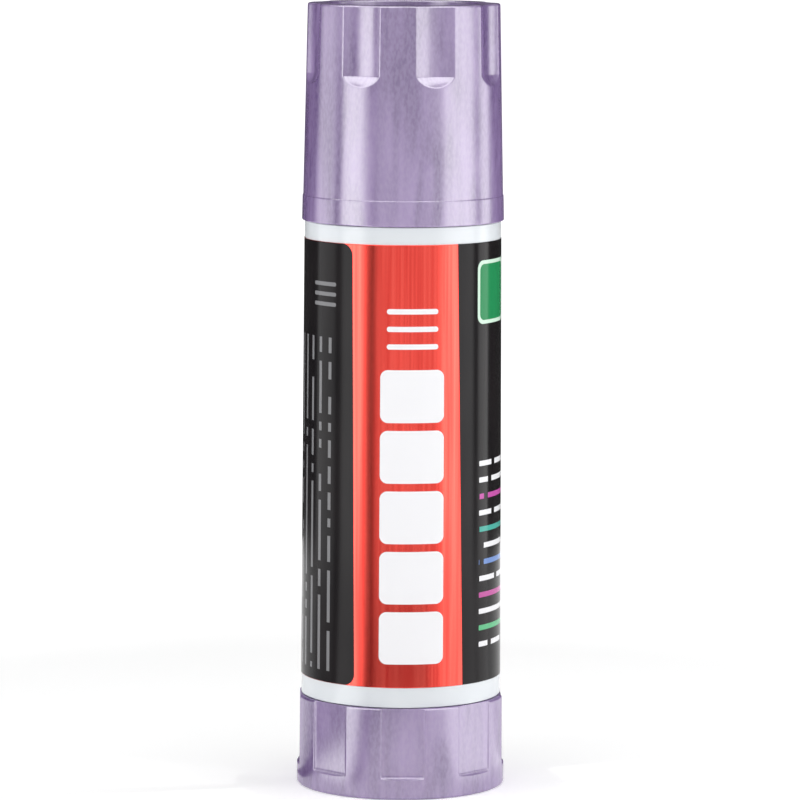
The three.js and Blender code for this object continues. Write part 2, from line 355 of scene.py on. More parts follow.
def revolve(tree):
    """The profile that comes in, turned round the axis, with its weights."""
    steps = tree.size("Steps", "NodeSocketInt")
    profile = tree.inputs.outputs["Geometry"]
    counted = "GeometryNodeAttributeDomainSize"
    rows = tree.fed(counted, {"Geometry": profile}, "Point Count", component="MESH")
    shape = tree.fed("GeometryNodeMeshGrid", {"Vertices X": steps + 1.0, "Vertices Y": rows})
    index = tree.fed("GeometryNodeInputIndex", {})
    row = tree.maths("MODULO", index, rows)
    column = tree.maths("FLOOR", (index + 0.5) / rows)
    position = tree.fed("GeometryNodeInputPosition", {})
    x, y, z = tree.parts(tree.sampled(profile, position, row, "FLOAT_VECTOR"))
    for name in WEIGHTS:
        value = tree.sampled(profile, tree.weight(name), row, "FLOAT")
        inputs = {"Geometry": shape, "Name": name, "Value": value}
        kept = "GeometryNodeStoreNamedAttribute"
        shape = tree.fed(kept, inputs, data_type="FLOAT", domain="POINT")
    shape = tree.placed(shape, around(tree, column / steps * (2 * math.pi), x, z))
    return tree.fed("GeometryNodeMergeByDistance", {"Geometry": shape, "Distance": WELD_DISTANCE})


def wrapped(tree, angle, count, offset):
    """The angle to the nearest of count evenly spaced forms, the first at offset."""
    pitch = 2 * math.pi / count
    turned = angle - offset + pitch * 0.5
    return tree.maths("FLOORED_MODULO", turned, pitch) - pitch * 0.5


def flat_sided(tree, angle, half_width):
    """How much nearer the axis a square bar's side is than its corner, at each angle."""
    local = wrapped(tree, angle, 4, 0.0)
    side = half_width / tree.maths("COSINE", local)
    return half_width * math.sqrt(2) - side


def finished(tree, shape, depths):
    """Ends the tree: presses the forms in, then smooth faces, real geometry and a material."""
    angle, radius, height = polar(tree)
    for name, depth in depths.items():
        radius = radius - depth * tree.weight(name)
    material = tree.size("Material", "NodeSocketMaterial")
    shape = tree.placed(shape, around(tree, angle, radius, height))
    shape = tree.fed("GeometryNodeSetShadeSmooth", {"Geometry": shape})
    shape = tree.fed("GeometryNodeRealizeInstances", {"Geometry": shape})
    shape = tree.fed("GeometryNodeSetMaterial", {"Geometry": shape, "Material": material})
    tree.plug(shape, tree.output.inputs[0])
    print(f"{tree.group.name}: {len(tree.group.nodes)} nodes")
    return tree.group


# %% From a profile and a tree to a piece
def enclosed(mesh):
    """The volume that a closed mesh encloses; it is negative when the faces point inwards."""
    mesh.calc_loop_triangles()
    total = 0.0
    for triangle in mesh.loop_triangles:
        a, b, c = (mesh.vertices[i].co for i in triangle.vertices)
        total += a.dot(b.cross(c)) / 6
    return total


def piece_from(name, profile, group, sizes, node, body):
    """Runs a tree on a profile and keeps the result as a plain mesh in place of a CAD node."""
    modifier = profile.modifiers.new("shape", "NODES")
    modifier.node_group = group
    for item in group.interface.items_tree:
        if item.in_out == "INPUT" and item.name in sizes:
            modifier[item.identifier] = sizes[item.name]
    depsgraph = bpy.context.evaluated_depsgraph_get()
    mesh = bpy.data.meshes.new_from_object(profile.evaluated_get(depsgraph), depsgraph=depsgraph)
    made = linked(name, mesh)
    mesh.name = name
    points = profile.data
    profile.modifiers.clear()
    bpy.data.objects.remove(profile)
    bpy.data.meshes.remove(points)
    volume = enclosed(mesh)
    if volume < 0:
        mesh.flip_normals()
    for weight in WEIGHTS:
        mesh.attributes.remove(mesh.attributes[weight])
    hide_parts(node)
    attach(made, body)
    print(f"{name}: {len(mesh.polygons)} faces, {abs(volume) / MM**3:.0f} mm3 enclosed")
    return made


# %% [markdown]
# ## Finishes: a kit
#
# Each finish is a Principled shader whose colour, roughness and relief vary by noise. The noise
# reads Object coordinates, so the pattern is fixed in the plastic, at a size in millimetres,
# and stays on the piece when it moves. A painted UV map would do too, but these pieces are
# round and the noise has no seam.

# %% Finish kit
NOISE_LOW, NOISE_HIGH = 0.26, 0.74


class Finish(Nodes):
    """A material under construction, on Object coordinates."""

    def __init__(self, name, fixed):
        self.material = bpy.data.materials.new(name)
        self.material.use_nodes = True
        super().__init__(self.material.node_tree)
        self.shader = self.group.nodes["Principled BSDF"]
        self.place = self.node("ShaderNodeTexCoord").outputs["Object"]
        self.change(fixed)

    def change(self, values):
        for name, value in values.items():
            self.plug(value, self.shader.inputs[name])

    def noise(self, across, along, detail=2.0, wander=0.0):
        """Noise whose patches are so many millimetres across and along the axis."""
        scale = (1 / across / MM, 1 / across / MM, 1 / along / MM)
        place = self.fed("ShaderNodeMapping", {"Vector": self.place, "Scale": scale})
        inputs = {"Vector": place, "Scale": 1.0, "Detail": detail, "Distortion": wander}
        return self.fed("ShaderNodeTexNoise", inputs)

    def between(self, value, low=0.0, high=1.0):
        """Noise, which lies about 0.5, spread from low to high."""
        inputs = {"Value": value, "From Min": NOISE_LOW, "From Max": NOISE_HIGH}
        inputs |= {"To Min": low, "To Max": high}
        return self.fed("ShaderNodeMapRange", inputs, interpolation_type="SMOOTHSTEP")

    def mixed(self, share, a, b):
        """A colour from a at share 0 to b at share 1."""
        return self.fed("ShaderNodeMix", {0: share, 6: a, 7: b}, 2, data_type="RGBA")

    def relief(self, height, depth, after=None):
        """A bump of so many millimetres, on top of another one if given."""
        inputs = {"Height": height, "Strength": 1.0, "Distance": depth * MM}
        if after is not None:
            inputs["Normal"] = after
        return self.fed("ShaderNodeBump", inputs)

    def finish(self, values):
        """Sets the last values and says how much it took."""
        self.change(values)
        print(f"{self.material.name}: {len(self.group.nodes)} nodes")


# %% [markdown]
# ## Pearl plastic
#
# The cap and the knob are moulded in plastic with mica flakes. The flakes lie along the flow of
# the melt, so the surface has silky upright swirls, lighter and darker, and it mirrors light
# softly and without a tint. Three layers of noise make it: wide wandering streaks, narrow
# streaks, and a grain of flakes. A high index of refraction gives the strong neutral gloss of
# mica better than a metallic purple does, which would tint the highlights.
#
# The roughness varies too, but it stays under 0.27. Near 0.274 Cycles' denoiser starts to treat
# a surface in another way, and noise that crosses this value shows as hard-edged specks.

# %% Pearl plastic
PURPLE_DEEP, PURPLE_LIGHT = (0.11, 0.06, 0.19, 1), (0.25, 0.165, 0.365, 1)
MICA, MICA_SHARE = (0.30, 0.22, 0.40, 1), 0.3

pearl = Finish("pearl_purple_plastic", {"IOR": 2.4, "Coat Weight": 0.1, "Coat Roughness": 0.12})
wide_streaks = pearl.noise(5.5, 22, detail=2.0, wander=1.1)
narrow_streaks = pearl.noise(1.1, 30, detail=0.0, wander=0.15)
flakes = pearl.noise(0.4, 0.9, detail=1.0)
silk = wide_streaks * 0.75 + narrow_streaks * 0.25
purple = pearl.mixed(pearl.between(silk), PURPLE_DEEP, PURPLE_LIGHT)
pearl.finish(
    {
        "Base Color": pearl.mixed(pearl.between(flakes) * MICA_SHARE, purple, MICA),
        "Roughness": pearl.between(silk, 0.21, 0.268),
        "Normal": pearl.relief(flakes, 0.004, pearl.relief(silk, 0.02)),
    }
)

# %% [markdown]
# ## White plastic, inner plastic and glue
#
# The barrel is plain white, glossy and a little cool, with the faint orange peel of a polished
# mould. The screw and the platform are natural, waxy plastic. The glue is a pale, slightly
# translucent soap-like solid with drag marks along its sides. Each has two layers of noise: a
# cloudy one for the colour and a finer one for the relief.

# %% White plastic
white = Finish("white_plastic", {"IOR": 1.5})
clouds = white.noise(7, 16)
peel = white.noise(0.9, 0.9, detail=0.0)
cool_white = white.mixed(white.between(clouds), (0.64, 0.672, 0.70, 1), (0.66, 0.692, 0.72, 1))
white.finish(
    {
        "Base Color": cool_white,
        "Roughness": white.between(peel, 0.2, 0.26),
        "Normal": white.relief(peel, 0.0006),
    }
)

# %% Inner plastic
translucent = {"Subsurface Weight": 0.15, "Subsurface Scale": 0.0008}
inner = Finish("inner_plastic", {"IOR": 1.49} | translucent)
cast = inner.noise(4, 9)
grain = inner.noise(0.6, 0.6, detail=0.0)
waxy_white = inner.mixed(inner.between(cast), (0.74, 0.765, 0.79, 1), (0.83, 0.84, 0.85, 1))
inner.finish(
    {
        "Base Color": waxy_white,
        "Roughness": inner.between(grain, 0.34, 0.46),
        "Normal": inner.relief(grain, 0.003),
    }
)

# %% Glue
soapy = {"Subsurface Weight": 0.3, "Subsurface Scale": 0.0015}
paste = Finish("solid_glue", {"IOR": 1.45} | soapy)
drag = paste.noise(0.8, 12)
smear = paste.noise(2.5, 2.5, detail=4)
soapy_white = paste.mixed(paste.between(smear), (0.86, 0.84, 0.76, 1), (0.92, 0.91, 0.87, 1))
paste.finish(
    {
        "Base Color": soapy_white,
        "Roughness": paste.between(smear, 0.36, 0.55),
        "Normal": paste.relief(smear, 0.03, paste.relief(drag, 0.02)),
    }
)

# %% [markdown]
# ## The cap
#
# The cap is a drafted cup with a collar at its mouth and eight flutes for the fingers. A flute
# is the hollow that a round bar leaves when it is laid along the wall, and it runs out below
# in a slanted facet. Cutting it with Booleans would leave hard edges and long thin faces. Here
# the cup is turned, and the rule for the bar presses the flutes in: at each angle the wall
# keeps the smaller of its own radius and the bar's near side, with a small soft blend, which
# is the moulded edge. The rim's fillet is pressed in by the same amount, so the bright line
# along the rim follows the flutes as on the real cap.

# %% Cap sizes
CAP_MOUTH, CAP_TOP = levels("cap")
BARREL_LOW, NECK_TOP = levels("barrel")
SEAT_GAP = 0.3
COLLAR_HEIGHT = 3.75
MOUTH_EDGE = 0.3
CAP_LEDGE = NECK_TOP + SEAT_GAP
DISH_FLOOR = CAP_TOP - 2.5
CAP_CEILING = DISH_FLOOR - 1.2
CAP_BASE_RADIUS = 15.02
CAP_TOP_RADIUS = 14.34
COLLAR_STEP = 0.09
CAP_INNER_RADIUS = 13.87
CAP_UPPER_RADIUS = 12.95
DISH_RADIUS = 11.39
RIM_FILLET = 0.28
FLUTES = 8
FLUTE_OFFSET = 19
FLUTE_DEPTH = 0.85
FLUTE_BAR_RADIUS = 8.5
FLUTE_END = 1.6
RUN_OUT_EVEN = 0.55
FLUTE_STRAIGHT = CAP_LEDGE + 1.15 + FLUTE_END
cap_slope = (CAP_BASE_RADIUS - CAP_TOP_RADIUS) / (CAP_TOP - CAP_MOUTH)
print(f"cap from {CAP_MOUTH:.2f} to {CAP_TOP:.2f} mm, slope {cap_slope:.4f}")

# %% The tree that presses flutes
fluting = Tree("fluted")
fluted_shape = revolve(fluting)
flutes = fluting.size("Flutes", "NodeSocketInt")
first_flute = fluting.size("First flute")
flute_depth = fluting.size("Flute depth")
bar_radius = fluting.size("Bar radius")
straight_level = fluting.size("Straight from")
end_height = fluting.size("End height")
edge_blend = fluting.size("Edge blend")
top_level = fluting.size("Top level")
top_radius = fluting.size("Top radius")
wall_slope = fluting.size("Wall slope")

angle, radius, height = polar(fluting)
wall = top_radius + wall_slope * (top_level - height)
below = fluting.most((straight_level - height) / end_height, 0.0)
steepening = below * below * (1 - RUN_OUT_EVEN)
run_out = below * RUN_OUT_EVEN + steepening
bar = fluting.most(bar_radius - flute_depth * run_out, 0.0)
centre = wall - flute_depth + bar_radius
local = wrapped(fluting, angle, flutes, first_flute)
across = centre * fluting.maths("SINE", local)
inside = bar * bar - across * across
half_chord = fluting.maths("SQRT", fluting.most(inside, 0.0))
near_side = centre * fluting.maths("COSINE", local) - half_chord
kept = fluting.maths("SMOOTH_MIN", wall, near_side, edge_blend)
FLUTED = finished(fluting, fluted_shape, {"press": wall - kept})

# %% Cap
cap_corners = [
    (0, CAP_CEILING, 0),
    (CAP_UPPER_RADIUS, CAP_CEILING, 0.5),
    (CAP_UPPER_RADIUS, CAP_LEDGE, 0.1),
    (CAP_INNER_RADIUS, CAP_LEDGE, 0.2),
    (CAP_INNER_RADIUS, CAP_MOUTH + MOUTH_EDGE, 0.1),
    (CAP_INNER_RADIUS + MOUTH_EDGE, CAP_MOUTH, 0.1),
    (CAP_BASE_RADIUS + COLLAR_STEP, CAP_MOUTH, 0.2),
    (CAP_BASE_RADIUS + COLLAR_STEP - cap_slope * COLLAR_HEIGHT, CAP_MOUTH + COLLAR_HEIGHT, 0.08),
    (CAP_BASE_RADIUS - cap_slope * COLLAR_HEIGHT, CAP_MOUTH + COLLAR_HEIGHT, 0),
    (CAP_TOP_RADIUS, CAP_TOP, RIM_FILLET),
    (DISH_RADIUS, CAP_TOP, 0.2),
    (DISH_RADIUS - 0.1, DISH_FLOOR, 0.5),
    (0, DISH_FLOOR, 0),
]
rim_inner, rim_outer = DISH_RADIUS + 0.25, CAP_TOP_RADIUS - RIM_FILLET


def cap_press(radius, height):
    """The outer wall above the ledge follows the flutes, and the rim's face fades to the dish."""
    if height < CAP_LEDGE or radius < rim_inner - 0.1:
        return 0.0
    if height > CAP_TOP - 0.01 and radius < rim_outer:
        return max(0.0, (radius - rim_inner) / (rim_outer - rim_inner))
    return 1.0 if radius > CAP_INNER_RADIUS + 0.1 else 0.0


flute_rows = spread(FLUTE_STRAIGHT - FLUTE_END - 0.2, FLUTE_STRAIGHT + 0.2, 21)
cap_rows = flute_rows + [CAP_LEDGE + 0.2] + spread(FLUTE_STRAIGHT + 0.6, CAP_TOP - 1, 6)
cap_profile = with_rows(rounded(cap_corners), sorted(cap_rows), CAP_UPPER_RADIUS + 1)
piece_from(
    "cap_moulded",
    profile_object("cap_profile", cap_profile, cap_press),
    FLUTED,
    {
        "Steps": 576,
        "Flutes": FLUTES,
        "First flute": math.radians(FLUTE_OFFSET),
        "Flute depth": FLUTE_DEPTH * MM,
        "Bar radius": FLUTE_BAR_RADIUS * MM,
        "Straight from": FLUTE_STRAIGHT * MM,
        "End height": FLUTE_END * MM,
        "Edge blend": 0.1 * MM,
        "Top level": CAP_TOP * MM,
        "Top radius": CAP_TOP_RADIUS * MM,
        "Wall slope": cap_slope,
        "Material": pearl.material,
    },
    "cap",
    "cap",
)

# %% [markdown]
# ## The base knob
#
# The knob is a cup with eight shallow grip pockets. Each pocket has a flat back, is open at the
# top edge and ends below on a ledge with a small fillet over it. A flat back is a chord of the
# circle, so its radius at an angle is its middle's radius over the cosine. Below the middle of
# each pocket the mould leaves a fine upright line. The hub in the middle has a square socket,
# which holds the screw's shank.

# %% Knob sizes
KNOB_FOOT, KNOB_TOP = levels("base_knob")
KNOB_TOP_RADIUS = 15.58
KNOB_FOOT_RADIUS = 15.67
KNOB_INNER_RADIUS = 13.8
KNOB_FOOT_WIDTH = 2.6
KNOB_RECESS = 0.8
KNOB_FLOOR = 2.4
HUB_RADIUS = 5.0
HUB_TOP = 7.0
SOCKET_HALF = 2.62
POCKETS = 8
POCKET_OFFSET = 1.3
POCKET_HALF_ANGLE = 11.7
POCKET_EDGE_DEPTH = 0.2
POCKET_LEDGE = 3.0
POCKET_FILLET = 0.6
KNOB_RIM_FILLET = 0.35
pocket_back = (KNOB_TOP_RADIUS - POCKET_EDGE_DEPTH) * math.cos(math.radians(POCKET_HALF_ANGLE))
print(f"pockets {KNOB_TOP_RADIUS - pocket_back:.2f} mm deep in the middle")

# %% The tree that presses pockets
pressing = Tree("pocketed")
pressed_shape = revolve(pressing)
pockets = pressing.size("Pockets", "NodeSocketInt")
first_pocket = pressing.size("First pocket")
half_angle = pressing.size("Half angle")
back_radius = pressing.size("Back radius")
ledge_level = pressing.size("Ledge level")
ledge_fillet = pressing.size("Ledge fillet")
side_slope = pressing.size("Side slope")
ledge_slope = pressing.size("Ledge slope")
lip_blend = pressing.size("Lip blend")
line_depth = pressing.size("Line depth")
line_width = pressing.size("Line width")
socket_half = pressing.size("Socket half width")

angle, radius, height = polar(pressing)
local = wrapped(pressing, angle, pockets, first_pocket)
over_ledge = height - ledge_level
rise = 1.0 - pressing.share(over_ledge / ledge_fillet)
bend = pressing.maths("SQRT", 1.0 - rise * rise)
back = back_radius / pressing.maths("COSINE", local) + ledge_fillet * (1.0 - bend)
beside = radius * (abs(local) - half_angle)
side_rise = pressing.most(beside * side_slope, 0.0)
ledge_rise = over_ledge * -ledge_slope
cut = back + pressing.most(side_rise, ledge_rise)
pocket = radius - pressing.maths("SMOOTH_MIN", radius, cut, lip_blend)
off_line = radius * abs(local) / line_width
under_ledge = pressing.maths("LESS_THAN", height, ledge_level)
line_share = pressing.share(1.0 - off_line) * under_ledge
line = line_depth * line_share
POCKETED = finished(
    pressing,
    pressed_shape,
    {"press": pocket + line, "square": flat_sided(pressing, angle, socket_half)},
)

# %% Knob
socket_corner = SOCKET_HALF * math.sqrt(2)
knob_corners = [
    (0, KNOB_RECESS, 0),
    (KNOB_FOOT_RADIUS - KNOB_FOOT_WIDTH, KNOB_RECESS, 0.25),
    (KNOB_FOOT_RADIUS - KNOB_FOOT_WIDTH, KNOB_FOOT, 0.2),
    (KNOB_FOOT_RADIUS, KNOB_FOOT, 0.45),
    (KNOB_TOP_RADIUS, KNOB_TOP, KNOB_RIM_FILLET),
    (KNOB_INNER_RADIUS, KNOB_TOP, 0.15),
    (KNOB_INNER_RADIUS, KNOB_FLOOR, 0.4),
    (HUB_RADIUS, KNOB_FLOOR, 0.3),
    (HUB_RADIUS, HUB_TOP, 0.15),
    (socket_corner, HUB_TOP, 0),
    (socket_corner, KNOB_FLOOR, 0),
    (0, KNOB_FLOOR, 0),
]
knob_rim_inner, knob_rim_outer = KNOB_INNER_RADIUS + 0.2, KNOB_TOP_RADIUS - KNOB_RIM_FILLET


def knob_press(radius, height):
    """The outer wall follows the pockets, and the rim's face fades to the inner edge."""
    if height > KNOB_TOP - 0.01 and radius < knob_rim_outer:
        return max(0.0, (radius - knob_rim_inner) / (knob_rim_outer - knob_rim_inner))
    if radius < KNOB_INNER_RADIUS + 0.3 or height < 0.5:
        return 0.0
    return 1.0


def in_socket(radius, height):
    """The socket's wall is square."""
    return 1.0 if abs(radius - socket_corner) < 0.001 else 0.0


lip_rows = spread(POCKET_LEDGE - 0.4, POCKET_LEDGE + 0.05, 13)
fillet_rows = spread(POCKET_LEDGE + 0.1, POCKET_LEDGE + 0.62, 7)
knob_rows = [0.7, 1.5, 2.3] + lip_rows + fillet_rows + spread(5, KNOB_TOP - 0.6, 5)
piece_from(
    "base_knob_moulded",
    profile_object(
        "knob_profile",
        with_rows(rounded(knob_corners), knob_rows, KNOB_INNER_RADIUS + 0.5),
        knob_press,
        square=in_socket,
    ),
    POCKETED,
    {
        "Steps": 960,
        "Pockets": POCKETS,
        "First pocket": math.radians(POCKET_OFFSET),
        "Half angle": math.radians(POCKET_HALF_ANGLE),
        "Back radius": pocket_back * MM,
        "Ledge level": POCKET_LEDGE * MM,
        "Ledge fillet": POCKET_FILLET * MM,
        "Side slope": 1.2,
        "Ledge slope": 2.5,
        "Lip blend": 0.24 * MM,
        "Line depth": 0.06 * MM,
        "Line width": 0.2 * MM,
        "Socket half width": SOCKET_HALF * MM,
        "Material": pearl.material,
    },
    "base_knob",
    "knob",
)

# %% [markdown]
# ## Barrel, glue, platform and screw
#
# The four pieces inside share one rule book. The barrel has four guide ribs in its bore, the
# platform and the glue have grooves that run along them, and the platform's nut runs on the
# left-hand screw. A bar of a given width, square to the wall, makes the ribs and the grooves.
# The thread is a flat crest with slanted flanks, whose place follows the angle and the height
# together. One tree holds both, so that the screw and its nut cannot drift out of step.

# %% The tree for ribs, grooves and threads
guiding = Tree("guided")
guided_shape = revolve(guiding)
bars = guiding.size("Bars", "NodeSocketInt")
bar_depth = guiding.size("Bar depth")
bar_half = guiding.size("Bar half width")
bar_edge = guiding.size("Bar edge")
lead = guiding.size("Lead")
thread_depth = guiding.size("Thread depth")
shank_half = guiding.size("Shank half width")

angle, radius, height = polar(guiding)
local = wrapped(guiding, angle, bars, 0.0)
off_bar = abs(radius * guiding.maths("SINE", local))
bar_share = guiding.share((bar_half - off_bar) / bar_edge)
turns = angle / (2 * math.pi) - 0.25
CREST_MIDDLE = 0.125
FLANK = 1 / 12
run = height / lead + (turns - CREST_MIDDLE)
off_crest = abs(guiding.maths("WRAP", run, 0.5, -0.5))
flank = guiding.share((CREST_MIDDLE + FLANK - off_crest) / FLANK)
crest = flank * flank * (3.0 - flank * 2.0)
GUIDED = finished(
    guiding,
    guided_shape,
    {
        "press": bar_depth * bar_share,
        "thread": -(thread_depth * crest),
        "square": flat_sided(guiding, angle, shank_half),
    },
)

# %% Shared sizes
BORE_RADIUS = 12.8
SPIGOT_RADIUS = 13.6
BARREL_FOOT = KNOB_TOP + SEAT_GAP
SHOULDER = NECK_TOP - 19.2
BEAD = SHOULDER + 3.4
BEAD_HALF = 0.6
BEAD_HEIGHT = 0.12
CLOSED_BY = 0.22
BARREL_BOTTOM_RADIUS = 15.0
BARREL_TOP_RADIUS = 14.65
HOLE_RADIUS = 5.26
BARREL_FLOOR_LOW = BARREL_LOW + 2.5
BARREL_FLOOR_TOP = BARREL_FLOOR_LOW + 1.5
RIBS = 4
RIB_TOP = NECK_TOP - 1.5
RIB_HEIGHT = 0.5
RIB_HALF = 0.8
RIB_EDGE = 0.15
RUNNING_GAP = 0.3
LEAD = 8.0
CORE_RADIUS = 3.0
THREAD_DEPTH = 0.9
SHANK_HALF = 2.5
threaded = {"Lead": LEAD * MM, "Thread depth": THREAD_DEPTH * MM, "Shank half width": 0.0}
no_thread = threaded | {"Thread depth": 0.0}
rib = {
    "Bars": RIBS,
    "Bar depth": RIB_HEIGHT * MM,
    "Bar half width": RIB_HALF * MM,
    "Bar edge": RIB_EDGE * MM,
}
groove = rib | {"Bar half width": (RIB_HALF + RUNNING_GAP) * MM}
print(f"barrel from {BARREL_FOOT:.2f} mm, shoulder {SHOULDER:.2f}, ribs up to {RIB_TOP:.2f}")

# %% Barrel
barrel_corners = [
    (HOLE_RADIUS, BARREL_FLOOR_LOW, 0),
    (BORE_RADIUS, BARREL_FLOOR_LOW, 0.2),
    (BORE_RADIUS, BARREL_LOW, 0.1),
    (SPIGOT_RADIUS, BARREL_LOW, 0.2),
    (SPIGOT_RADIUS, BARREL_FOOT - CLOSED_BY, 0.1),
    (BARREL_BOTTOM_RADIUS, BARREL_FOOT - CLOSED_BY, 0.12),
    (BARREL_TOP_RADIUS, SHOULDER + CLOSED_BY, 0.12),
    (SPIGOT_RADIUS, SHOULDER + CLOSED_BY, 0.1),
    (SPIGOT_RADIUS, BEAD - BEAD_HALF, 0.1),
    (SPIGOT_RADIUS + BEAD_HEIGHT, BEAD, 0.2),
    (SPIGOT_RADIUS, BEAD + BEAD_HALF, 0.1),
    (SPIGOT_RADIUS, NECK_TOP, 0.25),
    (BORE_RADIUS, NECK_TOP, 0.15),
    (BORE_RADIUS, RIB_TOP + 0.05, 0),
    (BORE_RADIUS, RIB_TOP, 0),
    (BORE_RADIUS, BARREL_FLOOR_TOP, 0),
    (HOLE_RADIUS, BARREL_FLOOR_TOP, 0),
    (HOLE_RADIUS, BARREL_FLOOR_LOW, 0),
]


def rib_press(radius, height):
    """The ribs stand on the bore's wall between the floor and a level under the neck's rim."""
    on_wall = abs(radius - BORE_RADIUS) < 0.01
    return 1.0 if on_wall and BARREL_FLOOR_TOP - 0.1 < height < RIB_TOP + 0.01 else 0.0


piece_from(
    "barrel_moulded",
    profile_object("barrel_profile", rounded(barrel_corners), rib_press),
    GUIDED,
    {"Steps": 384, "Material": white.material} | rib | no_thread,
    "barrel",
    "barrel",
)

# %% Glue
GLUE_LOW, GLUE_TOP = levels("glue")
SPINDLE_LOW, SPINDLE_TOP = levels("spindle")
GLUE_RADIUS = BORE_RADIUS - RUNNING_GAP
GLUE_HOLE_RADIUS = 4.2
glue_corners = [
    (0, SPINDLE_TOP + SEAT_GAP, 0),
    (GLUE_HOLE_RADIUS, SPINDLE_TOP + SEAT_GAP, 0.3),
    (GLUE_HOLE_RADIUS, GLUE_LOW, 0.2),
    (GLUE_RADIUS, GLUE_LOW, 0.3),
    (GLUE_RADIUS, GLUE_TOP, 1.0),
    (0, GLUE_TOP, 0),
]
glue = piece_from(
    "glue_column",
    profile_object("glue_profile", rounded(glue_corners), lambda r, z: 1.0 if r > 11 else 0.0),
    GUIDED,
    {"Steps": 288, "Material": paste.material} | groove | no_thread,
    "glue",
    "carriage",
)
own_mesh(glue)

# %% Platform
PLATFORM_LOW, PLATFORM_TOP = levels("platform")
NUT_HOLE = CORE_RADIUS + RUNNING_GAP
NUT_RADIUS = 5.8
SKIRT_INNER = 11.5
DISC_LOW = PLATFORM_TOP - 1.8
platform_corners = [
    (NUT_HOLE, PLATFORM_LOW, 0),
    (NUT_RADIUS, PLATFORM_LOW, 0.2),
    (NUT_RADIUS, DISC_LOW, 0.3),
    (SKIRT_INNER, DISC_LOW, 0.3),
    (SKIRT_INNER, PLATFORM_LOW, 0.1),
    (GLUE_RADIUS, PLATFORM_LOW, 0.2),
    (GLUE_RADIUS, PLATFORM_TOP, 0.3),
    (NUT_HOLE, PLATFORM_TOP, 0),
]
nut_wall = [(NUT_HOLE, level) for level in reversed(spread(PLATFORM_LOW, PLATFORM_TOP, 36))]
piece_from(
    "platform_moulded",
    profile_object(
        "platform_profile",
        rounded(platform_corners) + nut_wall[1:],
        lambda r, z: 1.0 if r > 11.8 else 0.0,
        thread=lambda r, z: 1.0 if r < NUT_HOLE + 0.01 else 0.0,
    ),
    GUIDED,
    {"Steps": 288, "Material": inner.material} | groove | threaded,
    "platform",
    "carriage",
)

# %% Screw
FLANGE_RADIUS = 6.65
FLANGE_LOW = HUB_TOP + SEAT_GAP
FLANGE_TOP = FLANGE_LOW + 1.2
shank_corner = SHANK_HALF * math.sqrt(2)
spindle_corners = [
    (0, SPINDLE_LOW, 0),
    (shank_corner, SPINDLE_LOW, 0),
    (shank_corner, FLANGE_LOW, 0),
    (FLANGE_RADIUS, FLANGE_LOW, 0.2),
    (FLANGE_RADIUS, FLANGE_TOP, 0.2),
    (CORE_RADIUS, FLANGE_TOP, 0),
]
rod = [(CORE_RADIUS, level) for level in spread(FLANGE_TOP, SPINDLE_TOP, 300)]
piece_from(
    "screw_moulded",
    profile_object(
        "spindle_profile",
        rounded(spindle_corners) + rod[1:] + [(0, SPINDLE_TOP)],
        thread=lambda r, z: 1.0 if abs(r - CORE_RADIUS) < 0.001 else 0.0,
        square=lambda r, z: 1.0 if abs(r - shank_corner) < 0.001 else 0.0,
    ),
    GUIDED,
    rib
    | threaded
    | {
        "Steps": 96,
        "Bar depth": 0.0,
        "Shank half width": SHANK_HALF * MM,
        "Material": inner.material,
    },
    "spindle",
    "knob",
)

# %% [markdown]
# ## The label: a printed film
#
# The label is a glossy film wrapped once round the barrel, with its end lapped over its start at
# the back. A strip of red metal foil runs down the front, between two black panels, and plain
# white blocks stand in the strip. Small grey and coloured bars fill the panels in the way that
# fine print would.
#
# The print could be an image, but a rule gives edges that stay sharp at any distance. So the
# material unrolls the label: across is the angle times the radius, up is the height, both in
# millimetres, and each printed form is a rounded box in that plane.

# %% Label sizes and tree
LABEL_LOW, LABEL_TOP = levels("label")
LABEL_RADIUS = 14.9
LABEL_GAP = 0.03
LABEL_SKIN = 0.06
LAP_WIDTH = 4.0
LAP_HEIGHT = 0.05
LAP_STEEPNESS = 60.0

lapping = Tree("lapped")
lapped_shape = revolve(lapping)
lap_angle = lapping.size("Lap angle")
lap_height = lapping.size("Lap height")
angle, radius, height = polar(lapping)
past_lap = angle - (math.pi - lap_angle)
lapped = lapping.share(past_lap * LAP_STEEPNESS) * lap_height
LAPPED = finished(lapping, lapped_shape, {"press": -lapped})


def barrel_radius(level):
    """The radius of the barrel's drafted wall."""
    draft = BARREL_BOTTOM_RADIUS - BARREL_TOP_RADIUS
    return BARREL_BOTTOM_RADIUS - draft * (level - BARREL_FOOT) / (SHOULDER - BARREL_FOOT)


# %% Label film kit
film = Finish("label_film", {"IOR": 1.5, "Specular IOR Level": 0.12})
x, y, z = film.parts(film.place)
unrolled = film.maths('ARCTAN2', x, -y) * LABEL_RADIUS
level = z / MM
EDGE_BLUR = 0.06


def box_in(across, up, centre, half, corner):
    """A mask that is 1 inside a rounded box of the unrolled label."""
    past = []
    for place, origin, reach in zip((across, up), centre, half):
        off = abs(place - origin)
        past.append(film.most(off - (reach - corner), 0.0))
    return film.share((corner - film.length(*past)) / EDGE_BLUR)


def slanted(at_top, at_bottom):
    """The distance across from a line that leans between two places."""
    lean = (at_top - at_bottom) / (LABEL_TOP - LABEL_LOW)
    line = (level - LABEL_LOW) * lean + at_bottom
    return unrolled - line


def row_of(value, start, pitch):
    """Which row a place is in, and how far it is from the row's middle."""
    rows = (value - (start - pitch / 2)) / pitch
    number = film.maths("FLOOR", rows)
    return number, (rows - number - 0.5) * pitch


def chance(number, other):
    """A fixed random number from 0 to 1 for a row and a column."""
    cell = {"Vector": film.joined(number, other, 0.0)}
    return film.fed("ShaderNodeTexWhiteNoise", cell, "Value", noise_dimensions="2D")


def all_of(*masks):
    """A mask that is 1 where all the given masks are."""
    result = masks[0]
    for mask in masks[1:]:
        result = result * mask
    return result


